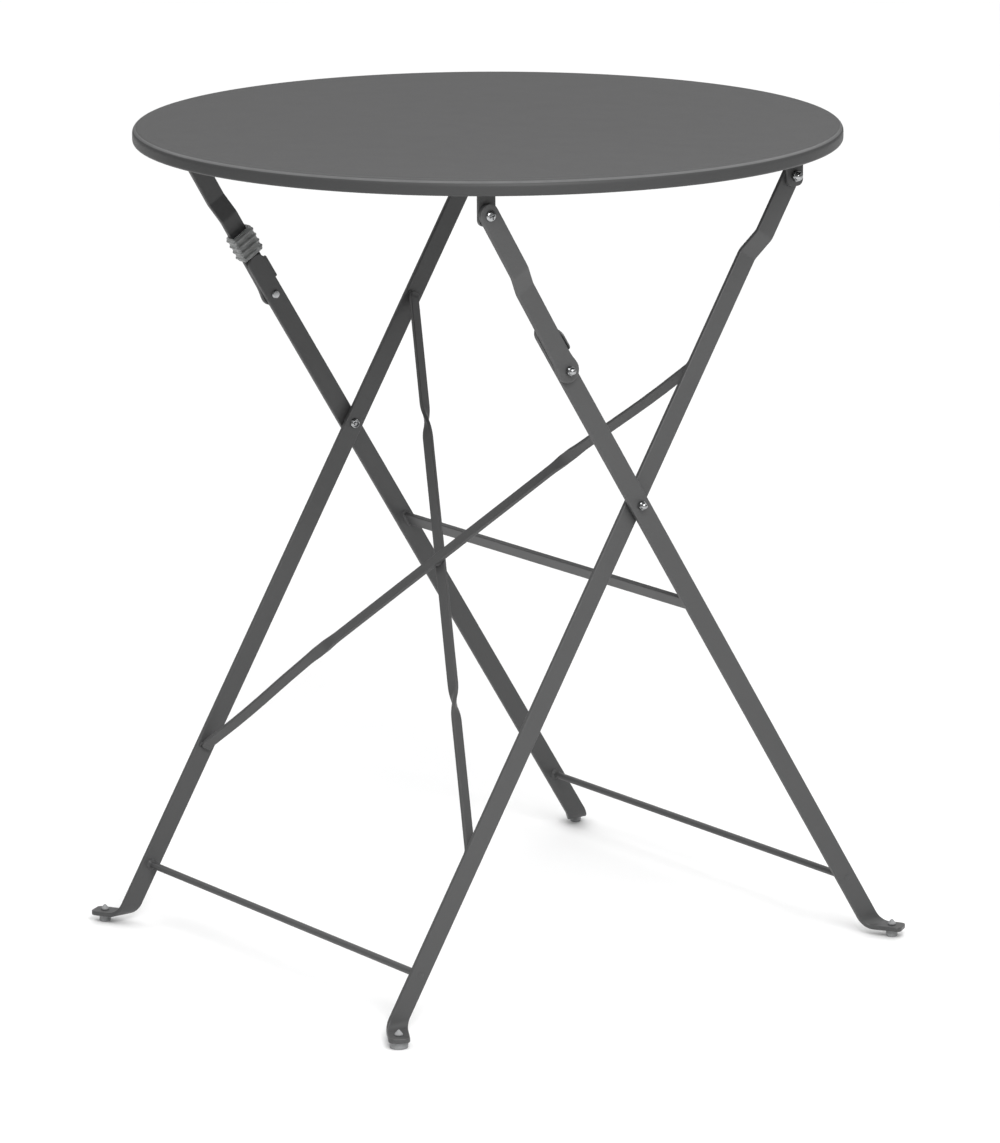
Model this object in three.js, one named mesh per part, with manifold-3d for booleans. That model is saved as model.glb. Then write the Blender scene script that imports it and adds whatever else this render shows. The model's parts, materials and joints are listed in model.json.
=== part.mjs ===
// Folding bistro table: a round pressed-steel top on two crossed flat-bar frames.
//
// Frame of reference: millimetres, +Z up, origin on the floor under the middle of the top.
// X runs along the crossing pivots (left = -X, right = +X), Y is the folding direction.
// The inner frame has its feet at -Y and carries the hinges of the top at +Y. The outer frame
// has its feet at +Y; on each side it ends above a knee pivot, and a separate upper link goes on
// from the knee to the other pair of ears under the top.
import * as THREE from 'three';
import { mergeVertices, mergeGeometries, toCreasedNormals } from 'three/addons/utils/BufferGeometryUtils.js';
import Module from 'manifold-3d';

const wasm = await Module();
wasm.setup();

// ---------------------------------------------------------------- driving dimensions (mm)
const TOP_RADIUS = 300;        // round top
const TOP_HEIGHT = 710;        // floor to top face
const SHEET = 1.2;             // sheet of the top
const RIM_DROP = 12.5;         // depth of the turned-down rim
const RIM_ROLL = 5;            // outer radius between the face and the rim
const CROSS_Z = 417;           // height of the crossing pivot, at y = 0
const LEG_EAR_Y = 157.5;       // the inner legs meet the top at y = +LEG_EAR_Y,
const LINK_EAR_Y = 160.5;      // the links at y = -LINK_EAR_Y
const EAR_Z = 677.5;           // height of those pivots
const OUTER_LEAN = 32.15 * Math.PI / 180;   // lean of the outer legs
const KNEE = 146;              // crossing pivot to knee, along the outer leg
const BAR_W = 18;              // flat bar of legs and links
const BAR_T = 4;
const BAR_EDGE = 0.8;          // broken edge of the flat bar
const INNER_X = 202.5;           // mid-plane of the inner legs, lower run
const INNER_TOP_X = 212.1;     // and above their joggle
const OUTER_X = 210.1;          // mid-plane of the outer legs
const LINK_X = 214.7;          // mid-plane of the links at the knee
const LINK_TOP_X = 220.3;      // and above their joggle
const EAR_X = 216.2;           // mid-plane of the ears
const EAR_T = 3;
const EAR_W = 17;
const INNER_JOGGLE = [227.3, 250.8];   // along the leg, from the crossing pivot
const LINK_JOGGLE = [82.6, 104];      // along the link, from the knee
const LEG_END = { '1': 194, '-1': 188.2 };  // upper ends of the outer legs, right and left
const END_REACH = 10;          // a pivot to the rounded end of its bar
const FOOT_Z = 8.3;              // mid-plane of the foot plates
const FOOT_BEND = 9.5;         // mid-plane radius where a leg turns into its foot plate
const INNER_PAD = -496;        // glide of an inner leg, along the leg from the crossing pivot
const OUTER_PAD = -498.5;
const FOOT_REACH = 10.5;         // glide to the end of the foot plate
const GLIDE_R = 5.0;           // glides; the one under the right inner leg is wider
const WIDE_GLIDE_R = 7.8;
const ROD_R = 3.05;            // low cross rods
const INNER_ROD = -428.5;       // rods along their legs
const OUTER_ROD = -426.5;
const CROSSBAR = -114;         // flat cross-bar of the outer frame, along the leg
const CROSSBAR_W = 12.8;
const CROSSBAR_SET = 1.5;      // set off the leg's mid-line, away from the inner frame
const BRACE_W = 10;
const BRACE_T = 3.4;
const BRACE_LOW = { front: -313, rear: -320 };   // ends of the crossed braces along the inner legs
const BRACE_HIGH = 124.5;
const BRACE_SET = 1;           // braces at their ends, off the plane of the frame
const BRACE_OFF = 3.9;         // and where they cross
const BRACE_LAP = 4;           // length of a brace lying on the leg
const BRACE_GAP = 1.1;         // half the gap between them there
const BRACE_TWIST = { low: 0.225, high: 0.205 };  // where a brace's quarter turn starts, as a share of its length from
const BRACE_TURN = 0.065;      // that end, and how long it is
const STOP_TAB = [159, 180];   // stop tabs along the outer legs
const CLIP = [43.2, 68.2];      // lock clip along the left link, from the knee
const BOLT_R = 2;              // M4 pivot bolts
const FIT = 0.3;               // running gap

// ---------------------------------------------------------------- derived geometry
// dir = +1: inner frame, which leans to +Y going up; dir = -1: outer frame and links
const lean = (dir) => (dir > 0 ? Math.atan2(LEG_EAR_Y, EAR_Z - CROSS_Z) : OUTER_LEAN);
const INNER_UPPER = Math.hypot(LEG_EAR_Y, EAR_Z - CROSS_Z);   // crossing pivot to top pivot
// s runs up along a leg from the crossing pivot, w across its width
const flat = (dir, s, w) => {
  const a = lean(dir), SIN = Math.sin(a), COS = Math.cos(a);
  return [dir * s * SIN + w * COS, CROSS_Z + s * COS - dir * w * SIN];
};
// the link stands a degree steeper than its leg, with its knee just past straight
const [KY, KZ] = flat(-1, KNEE, 0);
const LINK_LENGTH = Math.hypot(LINK_EAR_Y + KY, EAR_Z - KZ);
const LINK_LEAN = Math.atan2(LINK_EAR_Y + KY, EAR_Z - KZ);
const onLink = (s, w) => [KY - s * Math.sin(LINK_LEAN) + w * Math.cos(LINK_LEAN), KZ + s * Math.cos(LINK_LEAN) + w * Math.sin(LINK_LEAN)];

// ---------------------------------------------------------------- materials
const coat = (name, hex, roughness = 0.55) =>
  new THREE.MeshStandardMaterial({ name, color: hex, roughness, metalness: 0.15 });
const M = {
  top: () => coat('anthracite_coat', 0x5a5c5d, 0.5),
  frame: () => coat('anthracite_coat', 0x4d4f50, 0.55),
  zinc: () => new THREE.MeshStandardMaterial({ name: 'bright_zinc', color: 0xb9bbbd, roughness: 0.28, metalness: 0.95 }),
  clip: () => new THREE.MeshStandardMaterial({ name: 'clear_nylon', color: 0xb4b6b5, roughness: 0.35, metalness: 0 }),
  pad: () => new THREE.MeshStandardMaterial({ name: 'grey_glide', color: 0x8d9092, roughness: 0.6, metalness: 0 }),
};

// ---------------------------------------------------------------- helpers
function outward(geometry) {
  const g = geometry.index ? geometry.toNonIndexed() : geometry;
  const p = g.attributes.position.array;
  let v = 0;
  for (let i = 0; i < p.length; i += 9) {
    v += p[i] * (p[i + 4] * p[i + 8] - p[i + 5] * p[i + 7])
       - p[i + 1] * (p[i + 3] * p[i + 8] - p[i + 5] * p[i + 6])
       + p[i + 2] * (p[i + 3] * p[i + 7] - p[i + 4] * p[i + 6]);
  }
  if (v < 0) {
    for (let i = 0; i < p.length; i += 9) {
      for (let k = 0; k < 3; k++) { const t = p[i + 3 + k]; p[i + 3 + k] = p[i + 6 + k]; p[i + 6 + k] = t; }
    }
  }
  return g;
}

function bare(geometry, tolerance = 1e-4) {
  const g = outward(geometry.clone());
  for (const key of Object.keys(g.attributes)) if (key !== 'position') g.deleteAttribute(key);
  const merged = mergeVertices(g, tolerance);
  const index = merged.index.array, keep = [];
  for (let i = 0; i < index.length; i += 3) {
    const [a, b, c] = [index[i], index[i + 1], index[i + 2]];
    if (a !== b && b !== c && a !== c) keep.push(a, b, c);
  }
  merged.setIndex(keep);
  return merged;
}

function solid(geometry) {
  const g = bare(geometry);
  return new wasm.Manifold(new wasm.Mesh({
    numProp: 3,
    vertProperties: new Float32Array(g.attributes.position.array),
    triVerts: new Uint32Array(g.index.array),
  }));
}

function surface(manifold) {
  const mesh = manifold.getMesh();
  const g = new THREE.BufferGeometry();
  const n = mesh.numProp, count = mesh.vertProperties.length / n, pos = new Float32Array(count * 3);
  for (let i = 0; i < count; i++) for (let k = 0; k < 3; k++) pos[3 * i + k] = mesh.vertProperties[n * i + k];
  g.setAttribute('position', new THREE.BufferAttribute(pos, 3));
  g.setIndex(Array.from(mesh.triVerts));
  return g;
}

function cut(body, ...tools) {
  let m = solid(body);
  for (const t of tools) m = m.subtract(solid(t));
  return surface(m);
}
function join(body, ...more) {
  let m = solid(body);
  for (const t of more) m = m.add(solid(t));
  return surface(m);
}

// A round piece along X from a profile of [distance along x, radius], closed on the axis.
function turned(profile, side, y, z, segments = 18) {
  const g = new THREE.LatheGeometry(profile.map(([a, r]) => new THREE.Vector2(r, a)), segments);
  g.rotateZ(-Math.PI / 2);          // lathe axis +Y to +X
  if (side < 0) g.scale(-1, 1, 1);
  g.translate(0, y, z);
  return g;
}
// A round piece along Z.
function turnedUp(profile, x, y, segments = 20) {
  const g = new THREE.LatheGeometry(profile.map(([a, r]) => new THREE.Vector2(r, a)), segments);
  g.rotateX(Math.PI / 2);
  g.translate(x, y, 0);
  return g;
}
function hole(side, x0, x1, y, z, r, segments = 16) {
  return turned([[x0, 0], [x0, r], [x1, r], [x1, 0]], side, y, z, segments);
}

// Section of a flat bar with broken edges, extruded in steps; every step is then laid out as a
// row of the finished bar by place(row, w, t).
function flatBar(rows, width, thickness, edge, place) {
  const a = width / 2, b = thickness / 2, e = edge;
  const section = new THREE.Shape([
    [-a + e, -b], [a - e, -b], [a, -b + e], [a, b - e], [a - e, b], [-a + e, b], [-a, b - e], [-a, -b + e],
  ].map(([u, v]) => new THREE.Vector2(u, v)));
  const steps = rows.length - 1;
  const g = new THREE.ExtrudeGeometry(section, { depth: steps, steps, bevelEnabled: false });
  const p = g.attributes.position, out = new THREE.Vector3();
  for (let i = 0; i < p.count; i++) {
    const row = rows[Math.round(p.getZ(i))];
    const u = p.getX(i), half = row.h ?? a;
    const w = Math.sign(u) * (Math.abs(u) + half - a);
    place(row, w, p.getY(i), out);
    p.setXYZ(i, out.x, out.y, out.z);
  }
  return g;
}

// Rows of a rounded end. at = end of the bar, way = +1 if the bar goes on to larger s.
function endRows(at, way, radius, half) {
  const full = Math.abs(radius - half) < 1e-6;
  const angles = full ? [76, 58, 38, 19, 0] : [90, 60, 30, 0];
  const rows = angles.map((d) => {
    const q = d * Math.PI / 180;
    return { s: at + way * (radius - radius * Math.sin(q)), h: half - radius + radius * Math.cos(q), skew: 0 };
  });
  return way > 0 ? rows : rows.reverse();
}

// an offset with tight bends and a straight slope between them
const BEND_SHARE = 0.16;
const jog = (u) => {
  const r = BEND_SHARE, q = Math.min(1, Math.max(0, u));
  if (q < r) return q * q / (2 * r * (1 - r));
  if (q > 1 - r) return 1 - (1 - q) * (1 - q) / (2 * r * (1 - r));
  return (q - r / 2) / (1 - r);
};
const jogSlope = (u) => (u <= 0 || u >= 1 ? 0 : Math.min(u, 1 - u, BEND_SHARE) / (BEND_SHARE * (1 - BEND_SHARE)));
const jogSteps = [0, 0.04, 0.08, 0.12, 0.16, 0.84, 0.88, 0.92, 0.96, 1];

const smooth = (u) => { const q = Math.min(1, Math.max(0, u)); return q * q * (3 - 2 * q); };
function offsetAt(s, joggle, x0, x1) {
  if (!joggle) return [x0, 0];
  const u = (s - joggle[0]) / (joggle[1] - joggle[0]);
  const x = x0 + (x1 - x0) * jog(u);
  const slope = (x1 - x0) * jogSlope(u) / (joggle[1] - joggle[0]);
  return [x, Math.atan(slope)];
}

const BEND_TOP = FOOT_Z + FOOT_BEND;                       // where a leg starts to turn out
const BEND_LENGTH = FOOT_BEND * Math.PI / 2;

// A leg: dir +1 inner, -1 outer; side +1 right, -1 left. Its flat blank is folded about a
// horizontal line at the floor, so the foot plate goes on outwards, askew to the leg.
function leg(dir, side, pad, top, x0, x1, joggle, footHole) {
  const rows = [];
  rows.push(...endRows(pad - FOOT_REACH, 1, 5, BAR_W / 2));
  const at = (v) => (v - CROSS_Z) / Math.cos(lean(dir));
  rows.push({ s: at(BEND_TOP - BEND_LENGTH) - 8, skew: 0 });
  for (let k = 6; k >= 0; k--) rows.push({ s: at(BEND_TOP - BEND_LENGTH * k / 6), skew: 1 });
  rows.push({ s: at(BEND_TOP) + 8, skew: 0 });
  rows.push({ s: -110, skew: 0 });
  if (joggle) for (const u of jogSteps) rows.push({ s: joggle[0] + (joggle[1] - joggle[0]) * u, skew: 0 });
  rows.push(...endRows(top, -1, BAR_W / 2, BAR_W / 2));
  const body = flatBar(rows, BAR_W, BAR_T, BAR_EDGE, (row, w, t, out) => {
    const s = row.s + row.skew * dir * Math.tan(lean(dir)) * w;
    const [xm, tilt] = offsetAt(s, joggle, x0, x1);
    const sa = s - t * Math.sin(tilt);
    const [y, v] = flat(dir, sa, w);
    let x = xm + t * Math.cos(tilt), z = v;
    if (v < BEND_TOP - BEND_LENGTH - 1e-9) { x = xm + FOOT_BEND + (BEND_TOP - BEND_LENGTH - v); z = FOOT_Z + t; }
    else if (v < BEND_TOP) {
      const q = (BEND_TOP - v) / FOOT_BEND;
      x = xm + FOOT_BEND - (FOOT_BEND - t) * Math.cos(q);
      z = BEND_TOP - (FOOT_BEND - t) * Math.sin(q);
    }
    out.set(side * x, y, z);
  });
  const [px, py] = padSpot(dir, side, pad);
  const bores = [
    hole(side, x0 - 8, x0 + 8, 0, CROSS_Z, BOLT_R + FIT),
    turnedUp([[0, 0], [0, 3.0], [14, 3.0], [14, 0]], px, py, 16),
  ];
  return [body, bores];
}
function padSpot(dir, side, pad) {
  const [y, v] = flat(dir, pad, 0);
  const xm = dir > 0 ? INNER_X : OUTER_X;
  return [side * (xm + FOOT_BEND + (BEND_TOP - BEND_LENGTH - v)), y];
}

// ---------------------------------------------------------------- pieces
const table = new THREE.Group();
function add(name, geometry, material) {
  const g = bare(geometry);
  const mesh = new THREE.Mesh(toCreasedNormals(g, 0.6), material);
  mesh.name = name;
  table.add(mesh);
}
const SIDES = [[-1, 'left'], [1, 'right']];

// round top: face, rolled edge, turned-down rim with its lower edge curled in
{
  const R = TOP_RADIUS, Z = TOP_HEIGHT, r = RIM_ROLL, low = Z - RIM_DROP;
  const profile = [[0, Z], [R - r, Z]];
  for (let k = 1; k <= 4; k++) { const q = k * Math.PI / 8; profile.push([R - r + r * Math.sin(q), Z - r + r * Math.cos(q)]); }
  profile.push([R, low + 2], [R - 0.8, low + 0.5], [R - 2.4, low], [R - 4.0, low + 0.7], [R - 4.6, low + 2.4],
    [R - 4.4, low + 3.8], [R - 3.2, low + 3.6], [R - 3.2, low + 1.9], [R - 2.2, low + 1.5], [R - SHEET, low + 2.6]);
  for (let k = 4; k >= 1; k--) {
    const q = k * Math.PI / 8, ri = r - SHEET;
    profile.push([R - r + ri * Math.sin(q), Z - r + ri * Math.cos(q)]);
  }
  profile.push([R - r, Z - SHEET], [0, Z - SHEET]);
  const g = new THREE.LatheGeometry(profile.map(([a, b]) => new THREE.Vector2(a, b)), 72);
  g.rotateX(Math.PI / 2);
  add('table_top', g, M.top());
}

// an upright plate in a plane of constant x, with a rounded lower end and a pivot hole
function ear(side, yc) {
  const a = EAR_W / 2, c = 6, low = EAR_Z - 9, top = TOP_HEIGHT - SHEET - 3.4 - FIT;
  const shape = new THREE.Shape();
  shape.moveTo(yc - a, top);
  shape.lineTo(yc - a, low + c);
  shape.absarc(yc - a + c, low + c, c, Math.PI, 1.5 * Math.PI, false);
  shape.absarc(yc + a - c, low + c, c, 1.5 * Math.PI, 2 * Math.PI, false);
  shape.lineTo(yc + a, top);
  shape.closePath();
  const g = new THREE.ExtrudeGeometry(shape, { depth: EAR_T, bevelEnabled: false, curveSegments: 5 });
  // shape x -> world y, shape y -> world z, depth -> world x
  const p = g.attributes.position;
  for (let i = 0; i < p.count; i++) {
    const [y, z, d] = [p.getX(i), p.getY(i), p.getZ(i)];
    p.setXYZ(i, side * (EAR_X - EAR_T / 2 + d), y, z);
  }
  return cut(g, hole(side, EAR_X - 4, EAR_X + 4, yc, EAR_Z, BOLT_R + FIT));
}

for (const [side, label] of SIDES) {
  // flat rail under the sheet, which carries both ears of its side
  const rail = new THREE.BoxGeometry(24, 2 * (LINK_EAR_Y + 18), 3);
  rail.translate(side * EAR_X, 0, TOP_HEIGHT - SHEET - 0.3 - 1.5);
  add('top_rail_' + label, rail, M.frame());
  add('leg_bracket_' + label, ear(side, LEG_EAR_Y), M.frame());
  add('link_bracket_' + label, ear(side, -LINK_EAR_Y), M.frame());
}

// legs
for (const [side, label] of SIDES) {
  {
    const [body, bores] = leg(1, side, INNER_PAD, INNER_UPPER + END_REACH, INNER_X, INNER_TOP_X, INNER_JOGGLE);
    bores.push(hole(side, INNER_TOP_X - 6, INNER_TOP_X + 6, LEG_EAR_Y, EAR_Z, BOLT_R + FIT));
    add('inner_leg_' + label, cut(body, ...bores), M.frame());
  }
  {
    const end = LEG_END[side];
    const [body, bores] = leg(-1, side, OUTER_PAD, end, OUTER_X, OUTER_X, null);
    bores.push(hole(side, OUTER_X - 6, OUTER_X + 6, KY, KZ, BOLT_R + FIT));
    // stop tab: turned out from the +Y edge of the bar, across the edge of the link
    const s0 = STOP_TAB[0], s1 = STOP_TAB[1], inW = BAR_W / 2 + 0.95, outW = inW + 1.5;
    const outline = [[BAR_W / 2 - 1.2, -2], [outW - 1.4, -2], [outW, -0.6], [outW, 7.0], [outW - 0.9, 7.9], [inW + 0.4, 7.9], [inW, 7.4], [inW, 2.3], [BAR_W / 2 - 1.2, 2]];
    const shape = new THREE.Shape(outline.map(([w, t]) => new THREE.Vector2(w, t)));
    const tab = new THREE.ExtrudeGeometry(shape, { depth: s1 - s0, bevelEnabled: false });
    const p = tab.attributes.position;
    for (let i = 0; i < p.count; i++) {
      const [w, t, d] = [p.getX(i), p.getY(i), p.getZ(i)];
      const [y, z] = flat(-1, s0 + d, w);
      p.setXYZ(i, side * (OUTER_X + t), y, z);
    }
    const whole = join(body, tab);
    add('outer_leg_' + label, cut(whole, ...bores), M.frame());
  }
}

// upper links: from the knee to the ears, joggled outwards
for (const [side, label] of SIDES) {
  const rows = [];
  rows.push(...endRows(-10.5, 1, 10.5, 10.5));
  rows.push({ s: 10, h: BAR_W / 2 });
  for (const u of jogSteps) rows.push({ s: LINK_JOGGLE[0] + (LINK_JOGGLE[1] - LINK_JOGGLE[0]) * u });
  rows.push(...endRows(LINK_LENGTH + END_REACH, -1, BAR_W / 2, BAR_W / 2));
  const body = flatBar(rows, BAR_W, BAR_T, BAR_EDGE, (row, w, t, out) => {
    const [xm, tilt] = offsetAt(row.s, LINK_JOGGLE, LINK_X, LINK_TOP_X);
    const [y, z] = onLink(row.s - t * Math.sin(tilt), w);
    out.set(side * (xm + t * Math.cos(tilt)), y, z);
  });
  add('upper_link_' + label, cut(body,
    hole(side, LINK_X - 4, LINK_X + 4, KY, KZ, BOLT_R + FIT),
    hole(side, LINK_TOP_X - 4, LINK_TOP_X + 4, -LINK_EAR_Y, EAR_Z, BOLT_R + FIT)), M.frame());
}

// cross members
function rod(name, dir, s, reach) {
  const [y, z] = flat(dir, s, 0);
  add(name, turned([[-reach, 0], [-reach, ROD_R], [reach, ROD_R], [reach, 0]], 1, y, z, 16), M.frame());
}
rod('inner_foot_rod', 1, INNER_ROD, INNER_X - BAR_T / 2 - FIT);
rod('outer_foot_rod', -1, OUTER_ROD, OUTER_X - BAR_T / 2 - FIT);
{
  const reach = OUTER_X - BAR_T / 2 - FIT;
  const rows = [{ s: -reach }, { s: reach }];
  add('outer_crossbar', flatBar(rows, CROSSBAR_W, BAR_T, BAR_EDGE, (row, w, t, out) => {
    const [y, z] = flat(-1, CROSSBAR + w, CROSSBAR_SET + t);
    out.set(row.s, y, z);
  }), M.frame());
}

// crossed braces of the inner frame: flat bars welded by a short lap to the inner faces of the
// legs, edge-on to the frame's plane at their ends and turned a quarter flat into it between.
// low is where its bottom end meets the leg, set its distance off the plane of the frame, to -Y,
// where the two cross; their ends stand BRACE_SET off it.
function brace(way, low_, set) {
  const face = INNER_X - BAR_T / 2 - FIT - BRACE_T / 2;   // mid-plane of an end lying on a leg
  const a = new THREE.Vector2(-way * face, low_), b = new THREE.Vector2(way * face, BRACE_HIGH);
  const up = new THREE.Vector2(0, 1);
  const low = a.clone().addScaledVector(up, -BRACE_LAP), high = b.clone().addScaledVector(up, BRACE_LAP);
  const run = b.clone().sub(a), length = run.length(), along = run.clone().normalize();
  const rows = [];
  const turn = (share) => (share < 0.5 ? smooth((share - BRACE_TWIST.low) / BRACE_TURN) : smooth((1 - share - BRACE_TWIST.high) / BRACE_TURN));
  const corner = 3;                                       // reach of each bend from the lap
  const bendRows = (p, d0, d1, first) => {
    const q0 = p.clone().addScaledVector(d0, -corner), q1 = p.clone().addScaledVector(d1, corner);
    for (let k = 0; k <= 4; k++) {
      const u = k / 4, v = 1 - u;
      rows.push({
        p: new THREE.Vector2(v * v * q0.x + 2 * u * v * p.x + u * u * q1.x, v * v * q0.y + 2 * u * v * p.y + u * u * q1.y),
        d: d0.clone().multiplyScalar(v).addScaledVector(d1, u).normalize(), twist: 0, set: BRACE_SET,
      });
    }
  };
  rows.push({ p: low.clone(), d: up, twist: 0, set: BRACE_SET });
  bendRows(a, up, along);
  const shares = (start) => [0.1, 0.16, ...[0, 1, 2, 3, 4, 5, 6, 7, 8].map((k) => start + BRACE_TURN * k / 8), start + 0.11];
  for (const f of [...shares(BRACE_TWIST.low), ...shares(BRACE_TWIST.high).map((v) => 1 - v).reverse()]) {
    const t = turn(f);
    rows.push({ p: a.clone().addScaledVector(run, f), d: along, twist: t, set: BRACE_SET + (set - BRACE_SET) * smooth((Math.min(f, 1 - f) - 0.05) / 0.2) });
  }
  bendRows(b, along, up);
  rows.push({ p: high.clone(), d: up, twist: 0, set: BRACE_SET });
  return flatBar(rows, BRACE_W, BRACE_T, 0.6, (row, w, t, out) => {
    // twist 0: the width lies along the frame's normal; twist 1: it lies in the frame's plane
    const g = -way * row.twist * Math.PI / 2;
    const inPlane = w * Math.sin(g) + t * Math.cos(g);
    const normal = w * Math.cos(g) - t * Math.sin(g);
    const [y, z] = flat(1, row.p.y - row.d.x * inPlane, -(row.set + normal));
    out.set(row.p.x + row.d.y * inPlane, y, z);
  });
}
add('brace_front', brace(1, BRACE_LOW.front, BRACE_OFF + BRACE_T / 2 + BRACE_GAP), M.frame());
add('brace_rear', brace(-1, BRACE_LOW.rear, BRACE_OFF - BRACE_T / 2 - BRACE_GAP), M.frame());

// glides: a disc under the plate with a stud through it
for (const [dir, frame, pad] of [[1, 'inner', INNER_PAD], [-1, 'outer', OUTER_PAD]]) {
  for (const [side, label] of SIDES) {
    const [x, y] = padSpot(dir, side, pad);
    const under = FOOT_Z - BAR_T / 2 - FIT, over = FOOT_Z + BAR_T / 2 + FIT, r = dir > 0 && side > 0 ? WIDE_GLIDE_R : GLIDE_R;
    add(`${frame}_glide_${label}`, turnedUp([[0, 0], [0, r - 0.8], [0.8, r], [under - 0.8, r], [under, r - 0.6],
      [under, 2.7], [over, 2.7], [over, 3.5], [over + 1.2, 3.5], [over + 4.3, 0.9], [over + 4.6, 0]], x, y, 20), M.pad());
  }
}

// pivots. A bolt: head towards the middle of the table, shank through the bars; a domed nut outside.
function bolt(side, y, z, x0, x1, headR = 4.7, headT = 2.2) {
  return turned([[x0 - headT, 0], [x0 - headT, headR - 1.4], [x0 - headT * 0.45, headR - 0.2], [x0, headR],
    [x0, BOLT_R], [x1, BOLT_R], [x1 + 0.4, BOLT_R - 0.5], [x1 + 0.4, 0]], side, y, z, 18);
}
function domeNut(side, y, z, x0, shankEnd, R = 5.0) {
  const hex = new THREE.CylinderGeometry(R, R, 3.6, 6);
  hex.rotateZ(-Math.PI / 2);
  hex.translate(side * (x0 + 1.8), y, z);
  const dome = turned([[x0 + 2.5, 0], [x0 + 2.5, 0.8 * R], [x0 + 4.2, 0.77 * R], [x0 + 5.6, 0.63 * R], [x0 + 6.6, 0.4 * R], [x0 + 7.0, 0.14 * R], [x0 + 7.05, 0]], side, y, z, 18);
  return cut(join(hex, dome), turned([[x0 - 1, 0], [x0 - 1, BOLT_R + FIT], [shankEnd + 0.8, BOLT_R + FIT], [shankEnd + 0.8, 0]], side, y, z, 16));
}
for (const [side, label] of SIDES) {
  // crossing pivot: spacer washer between the legs
  const in0 = INNER_X - BAR_T / 2, in1 = INNER_X + BAR_T / 2, out0 = OUTER_X - BAR_T / 2, out1 = OUTER_X + BAR_T / 2;
  add('cross_bolt_' + label, bolt(side, 0, CROSS_Z, in0 - FIT, out1 + 3.2), M.zinc());
  add('cross_washer_' + label, (() => {
    const a = in1 + FIT, b = out0 - FIT;
    return cut(turned([[a, 0], [a, 6.2], [b, 6.2], [b, 0]], side, 0, CROSS_Z, 18), hole(side, a - 1, b + 1, 0, CROSS_Z, BOLT_R + FIT));
  })(), M.zinc());
  add('cross_nut_' + label, domeNut(side, 0, CROSS_Z, out1 + FIT, out1 + 3.6, 4.0), M.zinc());
  // knee
  add('knee_bolt_' + label, bolt(side, KY, KZ, out0 - FIT, LINK_X + BAR_T / 2 + 3.2, 3.9, 1.7), M.zinc());
  add('knee_nut_' + label, domeNut(side, KY, KZ, LINK_X + BAR_T / 2 + FIT, LINK_X + BAR_T / 2 + 3.6, 4.2), M.zinc());
  // top hinge on the inner leg
  add('top_bolt_' + label, bolt(side, LEG_EAR_Y, EAR_Z, INNER_TOP_X - BAR_T / 2 - FIT, INNER_TOP_X + BAR_T / 2 - 0.2), M.zinc());
  add('top_nut_' + label, domeNut(side, LEG_EAR_Y, EAR_Z, EAR_X + EAR_T / 2 + FIT, EAR_X + EAR_T / 2 + 3.6), M.zinc());
  // upper pivot of the link: screw from outside through link and ear, its nut inside the ear
  {
    const x1 = LINK_TOP_X + BAR_T / 2 + FIT, x0 = EAR_X - EAR_T / 2 - FIT - 3.2;
    const screw = turned([[x0, 0], [x0, BOLT_R], [x1, BOLT_R], [x1, 4.8], [x1 + 0.9, 4.6], [x1 + 2.0, 3.4], [x1 + 2.5, 1.5], [x1 + 2.55, 0]], side, -LINK_EAR_Y, EAR_Z, 18);
    const slotA = new THREE.BoxGeometry(3, 4.6, 1.0), slotB = new THREE.BoxGeometry(3, 1.0, 4.6);
    for (const b of [slotA, slotB]) b.translate(side * (x1 + 2.7), -LINK_EAR_Y, EAR_Z);
    add('link_screw_' + label, cut(screw, slotA, slotB), M.zinc());
    const n1 = EAR_X - EAR_T / 2 - FIT, hex = new THREE.CylinderGeometry(5.0, 5.0, 3.0, 6);
    hex.rotateZ(-Math.PI / 2);
    hex.translate(side * (n1 - 1.5), -LINK_EAR_Y, EAR_Z);
    add('link_nut_' + label, cut(hex, hole(side, n1 - 5, n1 + 2, -LINK_EAR_Y, EAR_Z, BOLT_R + FIT)), M.zinc());
  }
}

// lock clip: a ribbed sleeve that slides on the left link down over the end of the leg
{
  const side = -1;
  const inner = [OUTER_X - BAR_T / 2 - 0.4, LINK_X + BAR_T / 2 + 0.4], wall = 1.5, half = BAR_W / 2 + 0.4;
  const block = (s0, s1, w0, w1, x0, x1) => {
    const g = new THREE.BoxGeometry(1, 1, 1);
    const p = g.attributes.position;
    for (let i = 0; i < p.count; i++) {
      const s = p.getX(i) < 0 ? s0 : s1, w = p.getY(i) < 0 ? w0 : w1, x = p.getZ(i) < 0 ? x0 : x1;
      const [y, z] = onLink(s, w);
      p.setXYZ(i, side * x, y, z);
    }
    return g;
  };
  const [s0, s1] = CLIP;
  const parts = [block(s0, s1, -half - wall, half + wall, inner[0] - wall, inner[1] + wall)];
  for (let k = 0; k < 4; k++) {
    const c = s0 + 3.4 + k * 6.05;
    parts.push(block(c - 1.3, c + 1.3, -half - wall - 0.9, half + wall + 0.9, inner[0] - wall - 0.6, inner[1] + wall + 0.9));
  }
  const sleeve = join(...parts);
  add('lock_clip', cut(sleeve, block(s0 - 5, s1 + 5, -half, half, inner[0], inner[1])), M.clip());
}

export default table;
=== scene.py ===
import json
import math
import bpy
import bmesh
from mathutils import Matrix, Vector, noise


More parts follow.
